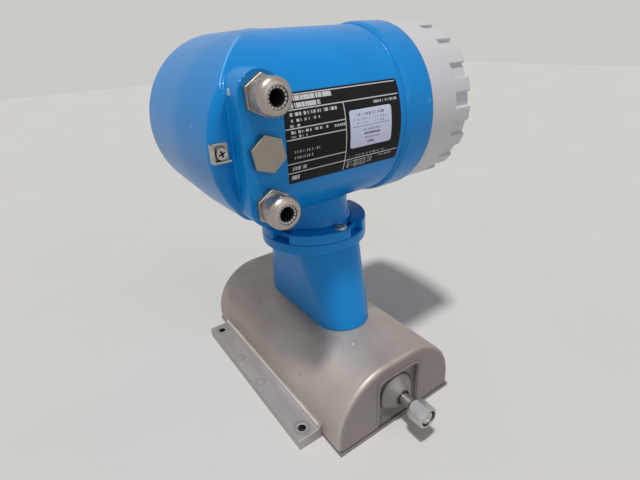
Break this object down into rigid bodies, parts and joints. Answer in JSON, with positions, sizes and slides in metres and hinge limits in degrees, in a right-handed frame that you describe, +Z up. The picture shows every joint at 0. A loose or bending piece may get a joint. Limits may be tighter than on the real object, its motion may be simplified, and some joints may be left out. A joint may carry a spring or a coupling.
{
  "type": "coriolis flow meter",
  "caption": "Compact coriolis flow meter: drawn stainless sensor body on mounting bars, cast neck with bayonet ring, and an elbow-shaped transmitter head with screwed covers and cable glands.",
  "frame": {"origin": "on the floor, under the crossing of the pipe axis and the neck axis", "axes": "+X along the pipe towards the outlet and the glands, +Y along the display barrel towards the window, +Z up"},
  "size_m": [0.292, 0.2255, 0.3044],
  "materials": {
    "stainless": "satin, blotchy",
    "bright_steel": "bright",
    "blue_paint": "gloss",
    "grey_paint": "semi-gloss",
    "nickel_brass": "satin nickel",
    "copper": "wound wire",
    "sheet_aluminium": "satin",
    "black_rubber": "matt",
    "black_plastic": "matt",
    "pale_plastic": "matt",
    "board": "matt",
    "screen": "gloss",
    "window": "clear",
    "black_plate": "gloss with pale rules",
    "white_label": "matt with grey rules"
  },
  "bodies": {
    "base": {"sensor_shell": "stainless", "base_plate": "stainless", "mounting_bar_left": "stainless", "mounting_bar_right": "stainless", "end_boss_inlet": "stainless", "end_boss_outlet": "stainless", "measuring_tube": "bright_steel", "tube_block_inlet": "stainless", "tube_block_outlet": "stainless", "coil_bracket": "stainless", "drive_coil": "copper", "pickup_coil_inlet": "copper", "pickup_coil_outlet": "copper", "drive_magnet": "bright_steel", "pickup_magnet_inlet": "bright_steel", "pickup_magnet_outlet": "bright_steel", "temperature_sensor": "bright_steel", "connection_gland_inlet": "bright_steel", "connection_gland_outlet": "bright_steel", "neck_adapter": "stainless", "neck_pedestal": "blue_paint", "pedestal_screws": "bright_steel", "neck_seal": "black_rubber", "bayonet_ring": "blue_paint", "securing_screws": "bright_steel"},
    "head": {"head_housing": "blue_paint", "display_module": "black_plastic", "display_screen": "screen", "electronics_cage": "sheet_aluminium", "amplifier_board": "board", "io_board": "board", "power_board": "board", "terminal_block": "board", "terminal_screws": "bright_steel", "gland_body_upper": "nickel_brass", "gland_body_lower": "nickel_brass", "gland_seal_upper": "black_rubber", "gland_seal_lower": "black_rubber", "gland_claw_upper": "pale_plastic", "gland_claw_lower": "pale_plastic", "blind_plug": "nickel_brass", "blind_plug_seal": "black_rubber", "ground_clamp": "bright_steel", "ground_screw": "bright_steel", "nameplate": "black_plate", "sticker": "white_label"},
    "display_cover": {"display_cover": "grey_paint", "window_glass": "window", "window_clamp_ring": "black_plastic", "display_cover_seal": "black_rubber"},
    "connection_cover": {"connection_cover": "grey_paint", "connection_cover_seal": "black_rubber"},
    "gland_cap_upper": {"gland_cap_upper": "nickel_brass"},
    "gland_cap_lower": {"gland_cap_lower": "nickel_brass"},
    "union_nut_inlet": {"union_nut_inlet": "bright_steel"},
    "union_nut_outlet": {"union_nut_outlet": "bright_steel"}
  },
  "joints": [
    {"name": "head_swivel", "type": "hinge", "parent": "base", "child": "head", "pos_m": [0, 0, 0.1436], "axis": [0, 0, 1], "range_deg": [-180, 180]},
    {"name": "display_cover_turn", "type": "hinge", "parent": "head", "child": "display_cover", "pos_m": [0, 0.1, 0.2354], "axis": [0, 1, 0], "range_deg": [0, 1800]},
    {"name": "connection_cover_turn", "type": "hinge", "parent": "head", "child": "connection_cover", "pos_m": [-0.076, -0.0405, 0.2354], "axis": [-1, 0, 0], "range_deg": [0, 1800]},
    {"name": "gland_cap_upper_turn", "type": "hinge", "parent": "head", "child": "gland_cap_upper", "pos_m": [0.086, -0.077, 0.2687], "axis": [1, 0, 0], "range_deg": [0, 1260]},
    {"name": "gland_cap_lower_turn", "type": "hinge", "parent": "head", "child": "gland_cap_lower", "pos_m": [0.086, -0.077, 0.2021], "axis": [1, 0, 0], "range_deg": [0, 1260]},
    {"name": "union_nut_inlet_turn", "type": "hinge", "parent": "base", "child": "union_nut_inlet", "pos_m": [-0.1375, 0, 0.0275], "axis": [-1, 0, 0], "continuous": true},
    {"name": "union_nut_outlet_turn", "type": "hinge", "parent": "base", "child": "union_nut_outlet", "pos_m": [0.1375, 0, 0.0275], "axis": [1, 0, 0], "continuous": true}
  ]
}
